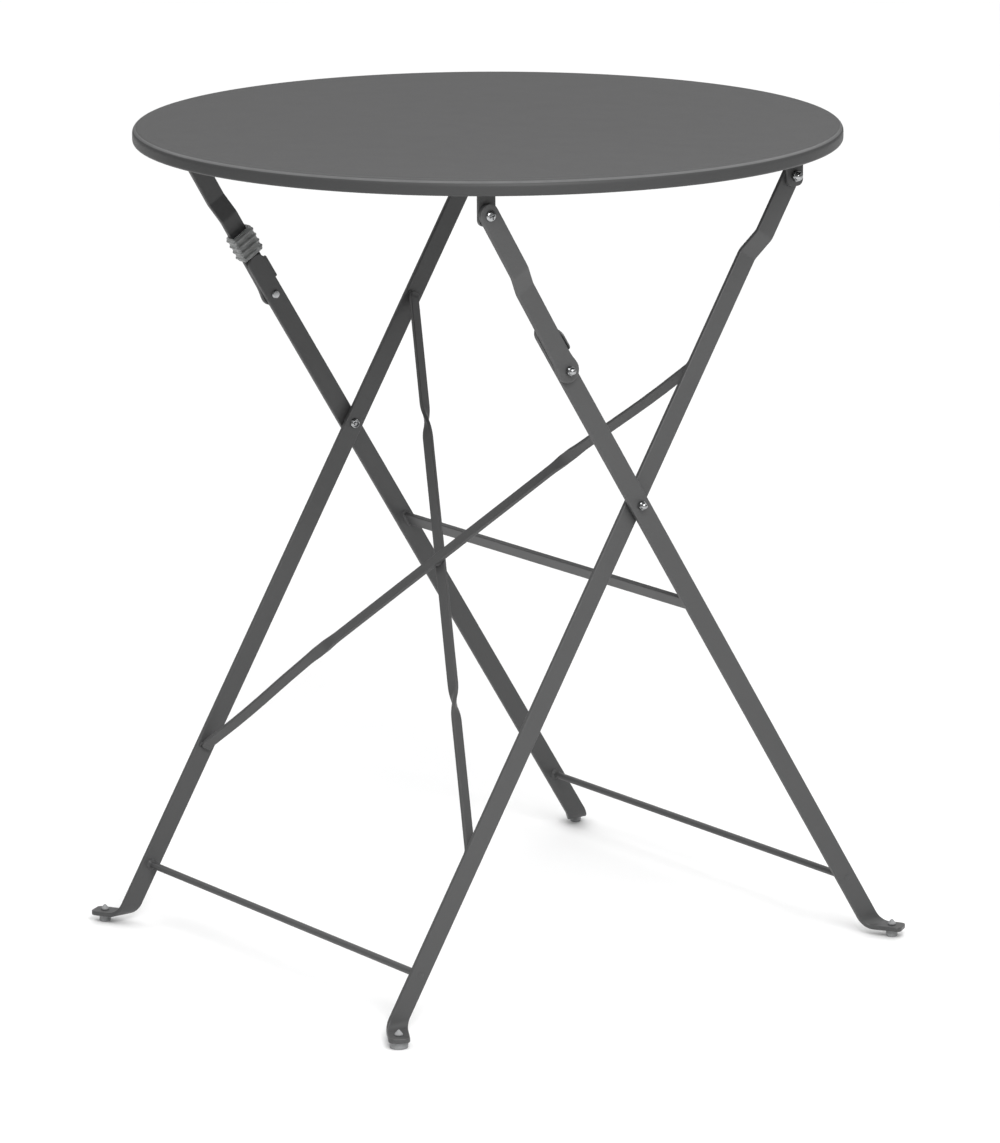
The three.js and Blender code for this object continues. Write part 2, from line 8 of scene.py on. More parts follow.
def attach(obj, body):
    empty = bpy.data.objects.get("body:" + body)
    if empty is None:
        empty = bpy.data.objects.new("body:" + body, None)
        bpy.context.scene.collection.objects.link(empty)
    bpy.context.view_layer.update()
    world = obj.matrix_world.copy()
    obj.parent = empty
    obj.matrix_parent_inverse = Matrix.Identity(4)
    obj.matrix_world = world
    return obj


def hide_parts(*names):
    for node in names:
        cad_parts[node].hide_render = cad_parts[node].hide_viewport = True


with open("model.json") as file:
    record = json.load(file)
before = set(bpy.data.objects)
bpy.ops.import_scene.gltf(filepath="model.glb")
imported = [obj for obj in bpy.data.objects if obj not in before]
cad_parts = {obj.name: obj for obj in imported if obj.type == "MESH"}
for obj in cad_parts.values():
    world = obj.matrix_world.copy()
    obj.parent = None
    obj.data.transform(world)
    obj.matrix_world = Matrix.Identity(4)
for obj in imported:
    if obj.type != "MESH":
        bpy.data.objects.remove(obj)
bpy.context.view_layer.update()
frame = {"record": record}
NODE_BODY = {n: b for b, ns in frame["record"]["behaviour"]["bodies"].items() for n in ns}
MM = 0.001
pi, sin, cos, tan, hypot = math.pi, math.sin, math.cos, math.tan, math.hypot

# ------------------------------------------------------------------ dimensions, mm (those of the CAD part)
TOP_RADIUS, TOP_HEIGHT, SHEET, RIM_DROP, RIM_ROLL = 300, 710, 1.2, 12.5, 5
CROSS_Z, LEG_EAR_Y, LINK_EAR_Y, EAR_Z = 417, 157.5, 160.5, 677.5
OUTER_LEAN, KNEE = 32.15 * pi / 180, 146
BAR_W, BAR_T, EDGE = 18, 4, 0.9
INNER_X, INNER_TOP_X, OUTER_X, LINK_X, LINK_TOP_X = 202.5, 212.1, 210.1, 214.7, 220.3
EAR_X, EAR_T, EAR_W = 216.2, 3, 17
INNER_JOGGLE, LINK_JOGGLE = (227.3, 250.8), (82.6, 104)
LEG_END = {1: 194, -1: 188.2}
END_REACH, FOOT_Z, FOOT_BEND = 10, 8.3, 9.5
INNER_PAD, OUTER_PAD, FOOT_REACH = -496, -498.5, 10.5
ROD_R, INNER_ROD, OUTER_ROD = 3.05, -428.5, -426.5
CROSSBAR, CROSSBAR_W, CROSSBAR_SET = -114, 12.8, 1.5
BRACE_W, BRACE_T = 10, 3.4
BRACE_LOW = {"front": -313, "rear": -320}
BRACE_HIGH, BRACE_SET, BRACE_OFF, BRACE_LAP, BRACE_GAP = 124.5, 1, 3.9, 4, 1.1
BRACE_TWIST, BRACE_TURN = {"low": 0.225, "high": 0.205}, 0.065
BEND_SHARE = 0.16
STOP_TAB, CLIP = (159, 180), (43.2, 68.2)
BOLT_R, FIT = 2, 0.3
INNER_LEAN = math.atan2(LEG_EAR_Y, EAR_Z - CROSS_Z)
INNER_UPPER = hypot(LEG_EAR_Y, EAR_Z - CROSS_Z)


def lean(d):
    return INNER_LEAN if d > 0 else OUTER_LEAN


def flat(d, s, w):
    a = lean(d)
    return d * s * sin(a) + w * cos(a), CROSS_Z + s * cos(a) - d * w * sin(a)


KY, KZ = flat(-1, KNEE, 0)
LINK_LENGTH = hypot(LINK_EAR_Y + KY, EAR_Z - KZ)
LINK_LEAN = math.atan2(LINK_EAR_Y + KY, EAR_Z - KZ)


def on_link(s, w):
    return KY - s * sin(LINK_LEAN) + w * cos(LINK_LEAN), KZ + s * cos(LINK_LEAN) + w * sin(LINK_LEAN)


def smooth(u):
    u = min(1, max(0, u))
    return u * u * (3 - 2 * u)


def jog(u):
    r, q = BEND_SHARE, min(1, max(0, u))
    if q < r:
        return q * q / (2 * r * (1 - r))
    if q > 1 - r:
        return 1 - (1 - q) ** 2 / (2 * r * (1 - r))
    return (q - r / 2) / (1 - r)


def jog_slope(u):
    return 0 if u <= 0 or u >= 1 else min(u, 1 - u, BEND_SHARE) / (BEND_SHARE * (1 - BEND_SHARE))


JOG_STEPS = [0.02 * k for k in range(9)] + [0.3, 0.5, 0.7] + [0.84 + 0.02 * k for k in range(9)]


def offset_at(s, joggle, x0, x1):
    if not joggle:
        return x0, 0
    u = (s - joggle[0]) / (joggle[1] - joggle[0])
    return x0 + (x1 - x0) * jog(u), math.atan((x1 - x0) * jog_slope(u) / (joggle[1] - joggle[0]))


# ------------------------------------------------------------------ materials
class Nodes:
    def __init__(self, name):
        self.m = bpy.data.materials.new(name)
        self.m.use_nodes = True
        self.t = self.m.node_tree
        self.b = self.t.nodes["Principled BSDF"]
        self.co = self.n("ShaderNodeTexCoord").outputs["Object"]

    def n(self, kind, **props):
        node = self.t.nodes.new(kind)
        for k, v in props.items():
            setattr(node, k, v)
        return node

    def link(self, a, b):
        self.t.links.new(a, b)

    def noise(self, scale, detail=3, rough=0.5, stretch=None):
        n = self.n("ShaderNodeTexNoise")
        n.inputs["Scale"].default_value = scale
        n.inputs["Detail"].default_value = detail
        n.inputs["Roughness"].default_value = rough
        if stretch:
            m = self.n("ShaderNodeMapping")
            m.inputs["Scale"].default_value = stretch
            self.link(self.co, m.inputs["Vector"])
            self.link(m.outputs["Vector"], n.inputs["Vector"])
        else:
            self.link(self.co, n.inputs["Vector"])
        return n.outputs["Fac"]

    def ramp(self, fac, *stops):
        r = self.n("ShaderNodeValToRGB")
        e = r.color_ramp.elements
        while len(e) < len(stops):
            e.new(0.5)
        for i, (p, c) in enumerate(stops):
            e[i].position = p
            e[i].color = (c, c, c, 1) if not isinstance(c, tuple) else (*c, 1)
        self.link(fac, r.inputs["Fac"])
        return r.outputs["Color"]

    def mix(self, fac, a, b, blend="MIX"):
        m = self.n("ShaderNodeMix", data_type="RGBA", blend_type=blend)
        for sock, v in ((m.inputs[0], fac), (m.inputs[6], a), (m.inputs[7], b)):
            if isinstance(v, (int, float)):
                sock.default_value = v if sock is m.inputs[0] else (v, v, v, 1)
            elif isinstance(v, tuple):
                sock.default_value = (*v, 1)
            else:
                self.link(v, sock)
        return m.outputs[2]

    def math(self, op, a, b=0.0):
        m = self.n("ShaderNodeMath", operation=op)
        for sock, v in ((m.inputs[0], a), (m.inputs[1], b)):
            if isinstance(v, (int, float)):
                sock.default_value = v
            else:
                self.link(v, sock)
        return m.outputs[0]

    def bump(self, height, distance, strength=1.0, normal=None):
        b = self.n("ShaderNodeBump")
        b.inputs["Strength"].default_value = strength
        b.inputs["Distance"].default_value = distance
        self.link(height, b.inputs["Height"])
        if normal is not None:
            self.link(normal, b.inputs["Normal"])
        return b.outputs["Normal"]


def powder_coat(name, base, rough=0.5, spec=0.4, grain=1.0, clouds=0.5):
    """Fine satin powder coat: grain of about 0.7 mm, orange peel of about 4 mm, thinner and a little
    brighter on the edges of the metal (edge weight up to 1); edge weight above 1 paints a highlight into the base
    colour."""
    k = Nodes(name)
    cloud = k.noise(9, 4, 0.55)
    mottle = k.noise(70, 3, 0.6)
    grain_n = k.noise(1500, 2, 0.6)
    peel = k.noise(260, 2, 0.5)
    edge = k.n("ShaderNodeAttribute", attribute_name="edge").outputs["Fac"]
    dark, light = tuple(c * (1 - 0.07 * clouds) for c in base), tuple(c * (1 + 0.06 * clouds) for c in base)
    col = k.mix(k.ramp(cloud, (0.35, 0.0), (0.65, 1.0)), dark, light)
    col = k.mix(k.ramp(mottle, (0.4, 0.0), (0.7, 0.18 * clouds)), col, tuple(c * 1.18 for c in base))
    speck = k.ramp(grain_n, (0.3, 0.0), (0.72, 1.0))
    col = k.mix(k.math("MULTIPLY", speck, 0.16), col, tuple(c * 1.5 for c in base))
    wear = k.math("MULTIPLY", k.math("MINIMUM", edge, 1.0), k.ramp(k.noise(120, 3, 0.6), (0.42, 0.1), (0.66, 0.75)))
    col = k.mix(wear, col, tuple(c * 1.18 + 0.003 for c in base))
    # values above 1 mark a rolled edge, drawn smooth, where a painted highlight (base colour raised 2.3 times) stands
    # in for the light reflected off the roll
    painted_highlight = k.math("MULTIPLY", k.math("MAXIMUM", k.math("SUBTRACT", edge, 1.0), 0.0), k.ramp(k.noise(60, 2, 0.5), (0.3, 0.8), (0.7, 1.0)))
    col = k.mix(painted_highlight, col, tuple(c * 2.3 + 0.01 for c in base))
    k.link(col, k.b.inputs["Base Color"])
    r = k.math("ADD", k.math("MULTIPLY", k.noise(38, 3, 0.6), 0.14 * clouds), rough - 0.07 * clouds)
    r = k.math("SUBTRACT", r, k.math("MULTIPLY", edge, 0.08))
    k.link(r, k.b.inputs["Roughness"])
    k.b.inputs["Specular IOR Level"].default_value = spec
    k.b.inputs["Coat Weight"].default_value = 0.04
    k.b.inputs["Coat Roughness"].default_value = 0.35
    n = k.bump(peel, 0.00006, 0.5 * grain)
    n = k.bump(grain_n, 0.00005, 0.7 * grain, n)
    k.link(n, k.b.inputs["Normal"])
    return k.m


def zinc(name):
    k = Nodes(name)
    tone = k.noise(420, 4, 0.65)
    k.link(k.ramp(tone, (0.3, (0.27, 0.275, 0.28)), (0.7, (0.44, 0.445, 0.45))), k.b.inputs["Base Color"])
    k.b.inputs["Metallic"].default_value = 1.0
    k.link(k.math("ADD", k.math("MULTIPLY", k.noise(900, 3, 0.6), 0.14), 0.12), k.b.inputs["Roughness"])
    k.link(k.bump(k.noise(1600, 2, 0.6), 0.00003, 0.4), k.b.inputs["Normal"])
    return k.m


def nylon(name, base, through, rough, grain=0.5):
    """Moulded plastic: milky, with a little light let through and a fine moulded grain."""
    k = Nodes(name)
    cloud = k.noise(160, 3, 0.55)
    k.link(k.mix(k.ramp(cloud, (0.35, 0.0), (0.65, 1.0)), tuple(c * 0.9 for c in base), tuple(min(1, c * 1.1) for c in base)),
           k.b.inputs["Base Color"])
    k.b.inputs["Transmission Weight"].default_value = through
    k.b.inputs["IOR"].default_value = 1.5
    k.b.inputs["Subsurface Weight"].default_value = 0.15
    k.b.inputs["Subsurface Radius"].default_value = (0.002, 0.002, 0.002)
    k.b.inputs["Subsurface Scale"].default_value = 0.6
    k.link(k.math("ADD", k.math("MULTIPLY", k.noise(600, 3, 0.6), 0.14), rough), k.b.inputs["Roughness"])
    k.link(k.bump(k.noise(1100, 2, 0.6), 0.00004, grain), k.b.inputs["Normal"])
    return k.m


TOP_MAT = powder_coat("top_powder_coat", (0.0425, 0.0428, 0.0431), 0.5, 0.2, 1.0, 0.3)
FRAME_MAT = powder_coat("frame_powder_coat", (0.06, 0.0603, 0.0607), 0.46, 0.34)
ZINC = zinc("bright_zinc_plate")
CLIP_MAT = nylon("milky_nylon", (0.4, 0.41, 0.406), 0.74, 0.24, 0.06)
GLIDE_MAT = nylon("grey_glide_plastic", (0.26, 0.264, 0.268), 0.0, 0.42)
LOOK = {"top_coat": TOP_MAT, "frame_coat": FRAME_MAT, "bright_zinc": ZINC, "clear_nylon": CLIP_MAT, "grey_glide": GLIDE_MAT}


# ------------------------------------------------------------------ mesh helpers
class Shell:
    """Vertices in mm, each with an edge weight, and faces."""

    def __init__(self):
        self.v, self.e, self.f = [], [], []

    def ring(self, points):
        i0 = len(self.v)
        for p in points:
            self.v.append(p[:3])
            self.e.append(p[3] if len(p) > 3 else 0.0)
        return list(range(i0, len(self.v)))

    def skin(self, rings, closed=False):
        n = len(rings[0])
        pairs = list(zip(rings, rings[1:]))
        if closed:
            pairs.append((rings[-1], rings[0]))
        for a, b in pairs:
            for i in range(n):
                j = (i + 1) % n
                self.f.append((a[i], a[j], b[j], b[i]))

    def cap(self, ring, flip=False):
        self.f.append(tuple(reversed(ring)) if flip else tuple(ring))

    def fan(self, ring, point, edge=0.0):
        c = self.ring([(*point, edge)])[0]
        n = len(ring)
        for i in range(n):
            self.f.append((ring[i], ring[(i + 1) % n], c))


def piece(name, shell, node=None, mat=None, body=None, crease=38, weighted=True):
    me = bpy.data.meshes.new(name)
    me.from_pydata([(x * MM, y * MM, z * MM) for x, y, z in shell.v], [], shell.f)
    # edge weight: up to 1 is edge wear of the coat, above 1 is a painted highlight
    att = me.attributes.new("edge", "FLOAT", "POINT")
    att.data.foreach_set("value", shell.e)
    bm = bmesh.new()
    bm.from_mesh(me)
    bmesh.ops.recalc_face_normals(bm, faces=bm.faces)
    for f in bm.faces:
        f.smooth = True
    for e in bm.edges:
        if len(e.link_faces) == 2 and e.calc_face_angle(0.0) > math.radians(crease):
            e.smooth = False
    bm.to_mesh(me)
    bm.free()
    ob = bpy.data.objects.new(name, me)
    bpy.context.scene.collection.objects.link(ob)
    me.materials.append(mat or FRAME_MAT)
    if weighted:
        w = ob.modifiers.new("weighted", "WEIGHTED_NORMAL")
        w.keep_sharp = True
    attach(ob, body or NODE_BODY[node])
    if node:
        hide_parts(node)
    return ob


def end_rows(at, way, radius, half, thick, edge, **more):
    """Rows of a rounded bar end, edges rounded too. way +1: the bar goes on to larger s."""
    rows = []
    steps = [0.0, 0.06, 0.2, 0.45, 0.9, 1.5, 2.2, 3.0, 4.0, 5.0, 6.2, 7.5, 9.0, 10.5]
    for x in [v for v in steps if v < radius] + [radius]:
        g = min(x, radius)
        h = half - radius + math.sqrt(max(0.0, radius * radius - (radius - g) ** 2))
        q = min(x, edge)
        b = thick / 2 - edge + math.sqrt(max(0.0, edge * edge - (edge - q) ** 2))
        rows.append(dict(s=at + way * x, h=max(h, edge + 0.15), b=b, tip=1.0 if x < 1 else 0.0, **more))
    return rows if way > 0 else rows[::-1]


def bar(rows, width, thick, edge, place, seg=4):
    """A flat bar as rings round its section, which has rounded corners."""
    sh = Shell()
    rings = []
    for r in rows:
        a, b = r.get("h", width / 2), r.get("b", thick / 2)
        e = min(edge, a - 0.05, b - 0.02)
        pts = []
        for cx, cy, q0 in ((a - e, b - e, 0), (-a + e, b - e, 90), (-a + e, -b + e, 180), (a - e, -b + e, 270)):
            for k in range(seg + 1):
                q = math.radians(q0 + 90 * k / seg)
                mark = sin(pi * k / seg) ** 0.5 if 0 < k < seg else 0.0
                x, y, z = place(r, cx + e * cos(q), cy + e * sin(q))
                pts.append((x, y, z, max(mark, r.get("tip", 0.0))))
        rings.append(sh.ring(pts))
    sh.skin(rings)
    sh.cap(rings[0], True)
    sh.cap(rings[-1])
    return sh


def spin(profile, axis, centre, side=1, n=48, wobble=0.0, seed=0.0):
    """A round piece. profile: (distance along the axis, radius[, edge]). axis 'x' or 'z'; first and last on the axis."""
    sh = Shell()
    rings = []

    def at(a, r, q):
        if axis == "x":
            return centre[0] + side * a, centre[1] + r * cos(q), centre[2] + r * sin(q)
        return centre[0] + r * cos(q), centre[1] + r * sin(q), centre[2] + a

    for p in profile[1:-1]:
        a, r = p[0], p[1]
        e = p[2] if len(p) > 2 else 0.0
        pts = []
        for i in range(n):
            q = 2 * pi * i / n
            k = 1 + wobble * noise.noise(Vector((2.2 * cos(q) + seed, 2.2 * sin(q), a * 0.6)))
            pts.append((*at(a * (1 if not wobble else k), r * k, q), e))
        rings.append(sh.ring(pts))
    sh.skin(rings)
    sh.fan(rings[0], at(profile[0][0], 0, 0))
    sh.fan(rings[-1], at(profile[-1][0], 0, 0))
    return sh


def merge(a, b):
    k = len(a.v)
    a.v += b.v
    a.e += b.e
    a.f += [tuple(i + k for i in f) for f in b.f]
    return a


# ------------------------------------------------------------------ round top
def make_top():
    R, Z, r, low = TOP_RADIUS, TOP_HEIGHT, RIM_ROLL, TOP_HEIGHT - RIM_DROP
    dip = 0.28
    prof = [(0.0, Z), (30, Z), (80, Z), (140, Z), (200, Z), (250, Z), (R - 24, Z), (R - 18, Z)]
    for x in (16, 14.5, 13, 11.5, 10.2, 9, 8, 7.1, 6.2, 5.5):
        u = (x - 5) / 13
        prof.append((R - x, Z - dip * sin(pi * min(1, max(0, u))) ** 2))
    for k in range(0, 15):
        q = k * (pi / 2) / 14
        prof.append((R - r + r * sin(q), Z - r + r * cos(q)))
    prof += [(R, low + 2.6), (R - 0.1, low + 1.7), (R - 0.5, low + 0.9), (R - 1.1, low + 0.35), (R - 1.8, low + 0.05), (R - 2.4, low),
             (R - 3.2, low + 0.2), (R - 4.0, low + 0.75), (R - 4.5, low + 1.6), (R - 4.65, low + 2.5), (R - 4.4, low + 3.7), (R - 3.8, low + 3.9),
             (R - 3.2, low + 3.5), (R - 3.3, low + 2.6), (R - 2.9, low + 1.9), (R - 2.2, low + 1.6), (R - 1.5, low + 1.9), (R - SHEET, low + 2.7)]
    for k in range(8, -1, -1):
        q, ri = k * (pi / 2) / 8, r - SHEET
        prof.append((R - r + ri * sin(q), Z - r + ri * cos(q)))
    prof += [(R - 18, Z - SHEET), (200, Z - SHEET), (100, Z - SHEET), (0.0, Z - SHEET)]
    sh = Shell()
    n = 288
    rings = []
    for i, (a, z) in enumerate(prof[1:-1], 1):
        # on the roll, 22 to 52 degrees round it, the edge weight is 2, which paints a highlight line into the coat
        # colour; 0.7 on the rim's lower edge is edge wear
        q = math.degrees(math.atan2(a - (R - r), z - (Z - r))) if a > R - r and z > Z - r and i < 36 else -1
        e = 2.0 if 22 < q < 52 else (0.7 if z < low + 1 else 0.0)
        rings.append(sh.ring([(a * cos(2 * pi * j / n), a * sin(2 * pi * j / n), z, e) for j in range(n)]))
    sh.skin(rings)
    sh.fan(rings[0], (0, 0, Z))
    sh.fan(rings[-1], (0, 0, Z - SHEET))
    piece("round_top", sh, "table_top", TOP_MAT, crease=60, weighted=False)


make_top()

SIDES = ((-1, "left"), (1, "right"))


def plate(outline, lo, hi, edge, lay):
    """A flat plate from a convex outline in the plane, with rounded edges, between two levels."""
    n = len(outline)
    cx, cy = sum(p[0] for p in outline) / n, sum(p[1] for p in outline) / n
    sh, rings = Shell(), []
    levels = [(lo, edge, 0), (lo + edge * 0.3, edge * 0.29, 1), (lo + edge, 0, 0.6), (hi - edge, 0, 0.6), (hi - edge * 0.3, edge * 0.29, 1), (hi, edge, 0)]
    for t, inset, e in levels:
        pts = []
        for i, (u, v) in enumerate(outline):
            (u0, v0), (u1, v1) = outline[i - 1], outline[(i + 1) % n]
            d = Vector((u1 - u0, v1 - v0)).normalized()
            nx, ny = d.y, -d.x
            if nx * (u - cx) + ny * (v - cy) < 0:
                nx, ny = -nx, -ny
            pts.append((*lay(u - nx * inset, v - ny * inset, t), e))
        rings.append(sh.ring(pts))
    sh.skin(rings)
    sh.cap(rings[0], True)
    sh.cap(rings[-1])
    return sh


def make_under():
    for side, label in SIDES:
        # rail along the underside, which carries both ears of its side
        half, w, top = LINK_EAR_Y + 18, 12, TOP_HEIGHT - SHEET - 0.3
        rows = end_rows(-half, 1, 2.5, w, 3, 0.6) + [dict(s=s) for s in (-100, 0, 100)] + end_rows(half, -1, 2.5, w, 3, 0.6)
        piece("underside_rail_" + label, bar(rows, 2 * w, 3, 0.6, lambda r, u, t: (side * EAR_X + u, r["s"], top - 1.5 + t)), "top_rail_" + label)
        # ears
        for name, yc in (("leg_bracket_", LEG_EAR_Y), ("link_bracket_", -LINK_EAR_Y)):
            a, c, low, top_z = EAR_W / 2, 5.6, EAR_Z - 9, TOP_HEIGHT - SHEET - 3.4 - FIT
            out = [(yc - a, top_z)]
            out += [(yc - a, top_z - (top_z - low - c) * k / 5) for k in range(1, 5)]
            out += [(yc - a + c - c * cos(q), low + c - c * sin(q)) for q in [pi / 2 * k / 8 for k in range(9)]]
            out += [(yc, low)]
            out += [(yc + a - c + c * sin(q), low + c - c * cos(q)) for q in [pi / 2 * k / 8 for k in range(9)]]
            out += [(yc + a, top_z - (top_z - low - c) * k / 5) for k in range(4, 0, -1)]
            out += [(yc + a, top_z)]
            sh = plate(out, EAR_X - EAR_T / 2, EAR_X + EAR_T / 2, 0.6, lambda u, v, t: (side * t, u, v))
            piece("ear_" + name + label, sh, name + label)
            # weld run between the ear and the rail, on the ear's outer and inner faces
            for face, tag in ((1, "out"), (-1, "in")):
                sh, rings = Shell(), []
                x0, z0 = EAR_X + face * EAR_T / 2, top_z + 0.5
                m = 22
                for i in range(m + 1):
                    y = yc - a + 1.2 + (EAR_W - 2.4) * i / m
                    r = 1.9 * (0.8 + 0.28 * abs(sin(pi * i / 3.1)) + 0.12 * noise.noise(Vector((y * 0.6, side * 3, face)))) * (0.35 if i in (0, m) else 1)
                    rings.append(sh.ring([(side * (x0 + face * r * cos(q) * 0.9), y, z0 + r * sin(q) - 0.6, 0.3) for q in [2 * pi * k / 12 for k in range(12)]]))
                sh.skin(rings)
                sh.cap(rings[0], True)
                sh.cap(rings[-1])
                piece(f"weld_ear_{tag}_{name}{label}", sh, body="top", crease=80, weighted=False)


make_under()

# ------------------------------------------------------------------ legs
BEND_TOP, BEND_LENGTH = FOOT_Z + FOOT_BEND, FOOT_BEND * pi / 2


def pad_spot(d, side, pad):
    y, v = flat(d, pad, 0)
    xm = INNER_X if d > 0 else OUTER_X
    return side * (xm + FOOT_BEND + (BEND_TOP - BEND_LENGTH - v)), y


def leg_shell(d, side, pad, top, x0, x1, joggle):
    def at(v):
        return (v - CROSS_Z) / cos(lean(d))

    rows = end_rows(pad - FOOT_REACH, 1, 5, BAR_W / 2, BAR_T, EDGE, skew=0)
    s0 = at(BEND_TOP - BEND_LENGTH)
    rows.append(dict(s=s0 - 9, skew=0))
    rows += [dict(s=at(BEND_TOP - BEND_LENGTH * k / 14), skew=1) for k in range(14, -1, -1)]
    rows.append(dict(s=at(BEND_TOP) + 9, skew=0))
    s_end = joggle[0] - 4 if joggle else top - BAR_W / 2 - 4
    s1 = at(BEND_TOP) + 20
    rows += [dict(s=s1 + (s_end - s1) * k / 22, skew=0) for k in range(23)]
    if joggle:
        rows += [dict(s=joggle[0] + (joggle[1] - joggle[0]) * u, skew=0) for u in JOG_STEPS]
    rows += end_rows(top, -1, BAR_W / 2, BAR_W / 2, BAR_T, EDGE, skew=0)

    def place(r, w, t):
        s = r["s"] + r["skew"] * d * tan(lean(d)) * w
        xm, tilt = offset_at(s, joggle, x0, x1)
        y, v = flat(d, s - t * sin(tilt), w)
        x, z = xm + t * cos(tilt), v
        if v < BEND_TOP - BEND_LENGTH - 1e-9:
            x, z = xm + FOOT_BEND + (BEND_TOP - BEND_LENGTH - v), FOOT_Z + t
        elif v < BEND_TOP:
            q = (BEND_TOP - v) / FOOT_BEND
            x, z = xm + FOOT_BEND - (FOOT_BEND - t) * cos(q), BEND_TOP - (FOOT_BEND - t) * sin(q)
        return side * x, y, z

    return bar(rows, BAR_W, BAR_T, EDGE, place)


def make_legs():
    for side, label in SIDES:
        piece("leg_inner_" + label, leg_shell(1, side, INNER_PAD, INNER_UPPER + END_REACH, INNER_X, INNER_TOP_X, INNER_JOGGLE), "inner_leg_" + label)
        sh = leg_shell(-1, side, OUTER_PAD, LEG_END[side], OUTER_X, OUTER_X, None)
        # stop tab, turned out from the edge of the bar beside the link, thin and curled
        s0, s1 = STOP_TAB
        in_w, out_w = BAR_W / 2 + 0.95, BAR_W / 2 + 2.45
        section = [(BAR_W / 2 - 1.2, -1.9), (out_w - 1.5, -1.9), (out_w - 0.6, -1.5), (out_w - 0.1, -0.8), (out_w, 0.2), (out_w, 6.4),
                   (out_w - 0.2, 7.3), (out_w - 0.8, 7.8), (in_w + 0.4, 7.8), (in_w, 7.4), (in_w, 2.6), (BAR_W / 2 - 0.6, 1.8), (BAR_W / 2 - 1.2, 1.6)]
        rings, m = [], 14
        for i in range(m + 1):
            u = i / m
            f = min(1.0, math.sqrt(max(0.0, 1 - (2 * u - 1) ** 2)) * 1.25)
            pts = []
            for w, t in section:
                tt = t if t < 1.9 else 1.9 + (t - 1.9) * f
                y, z = flat(-1, s0 + (s1 - s0) * u, w)
                # edge weight 1.7 on the upper end of the lip paints a highlight into the coat colour; 0.9 and 0.5 on
                # the lip are edge wear
                pts.append((side * (OUTER_X + tt), y, z, (1.7 if u > 0.72 else 0.9) if t > 7 else (0.5 if t > 5 else 0.0)))
            rings.append(sh.ring(pts))
        sh.skin(rings)
        sh.cap(rings[0], True)
        sh.cap(rings[-1])
        piece("leg_outer_" + label, sh, "outer_leg_" + label)


make_legs()


def make_links():
    for side, label in SIDES:
        rows = end_rows(-10.5, 1, 10.5, 10.5, BAR_T, EDGE)
        rows += [dict(s=4, h=10.1), dict(s=8, h=9.4), dict(s=12, h=9.05), dict(s=16)]
        rows += [dict(s=s) for s in (30, 45, 60, 75)]
        rows += [dict(s=LINK_JOGGLE[0] + (LINK_JOGGLE[1] - LINK_JOGGLE[0]) * u) for u in JOG_STEPS]
        rows += [dict(s=LINK_JOGGLE[1] + 10), dict(s=LINK_LENGTH - 8)]
        rows += end_rows(LINK_LENGTH + END_REACH, -1, BAR_W / 2, BAR_W / 2, BAR_T, EDGE)

        def place(r, w, t):
            xm, tilt = offset_at(r["s"], LINK_JOGGLE, LINK_X, LINK_TOP_X)
            y, z = on_link(r["s"] - t * sin(tilt), w)
            return side * (xm + t * cos(tilt)), y, z

        piece("link_" + label, bar(rows, BAR_W, BAR_T, EDGE, place), "upper_link_" + label)


make_links()


# ------------------------------------------------------------------ cross members and welds
def bead(name, centre, side, r0, r1, reach, body, seed, squash=1.0, spread=None):
    """A fillet weld round a bar that meets the plane x = centre.x, growing towards -side."""
    prof = [(0.05, 0.0), (0.05, r1), (-0.5, r1 * 0.985), (-reach * 0.35, r0 + (r1 - r0) * 0.55), (-reach * 0.7, r0 + (r1 - r0) * 0.22), (-reach, r0 + 0.05), (-reach, 0.0)]
    sh = Shell()
    rings = []
    n = 40
    for a, r in prof[1:-1]:
        pts = []
        for i in range(n):
            q = 2 * pi * i / n
            k = 1 + 0.13 * noise.noise(Vector((1.7 * cos(q) + seed, 1.7 * sin(q), a * 0.3))) + 0.05 * sin(9 * q + seed)
            ex = r0 + (r - r0) * k
            dy, dz = ex * cos(q), ex * sin(q)
            if spread:
                dy, dz = spread(dy, dz, r0)
            pts.append((centre[0] + side * a, centre[1] + dy, centre[2] + dz, 0.15))
        rings.append(sh.ring(pts))
    sh.skin(rings)
    sh.fan(rings[0], (centre[0] + side * 0.05, centre[1], centre[2]))
    sh.fan(rings[-1], (centre[0] - side * reach, centre[1], centre[2]))
    piece(name, sh, body=body, crease=80, weighted=False)


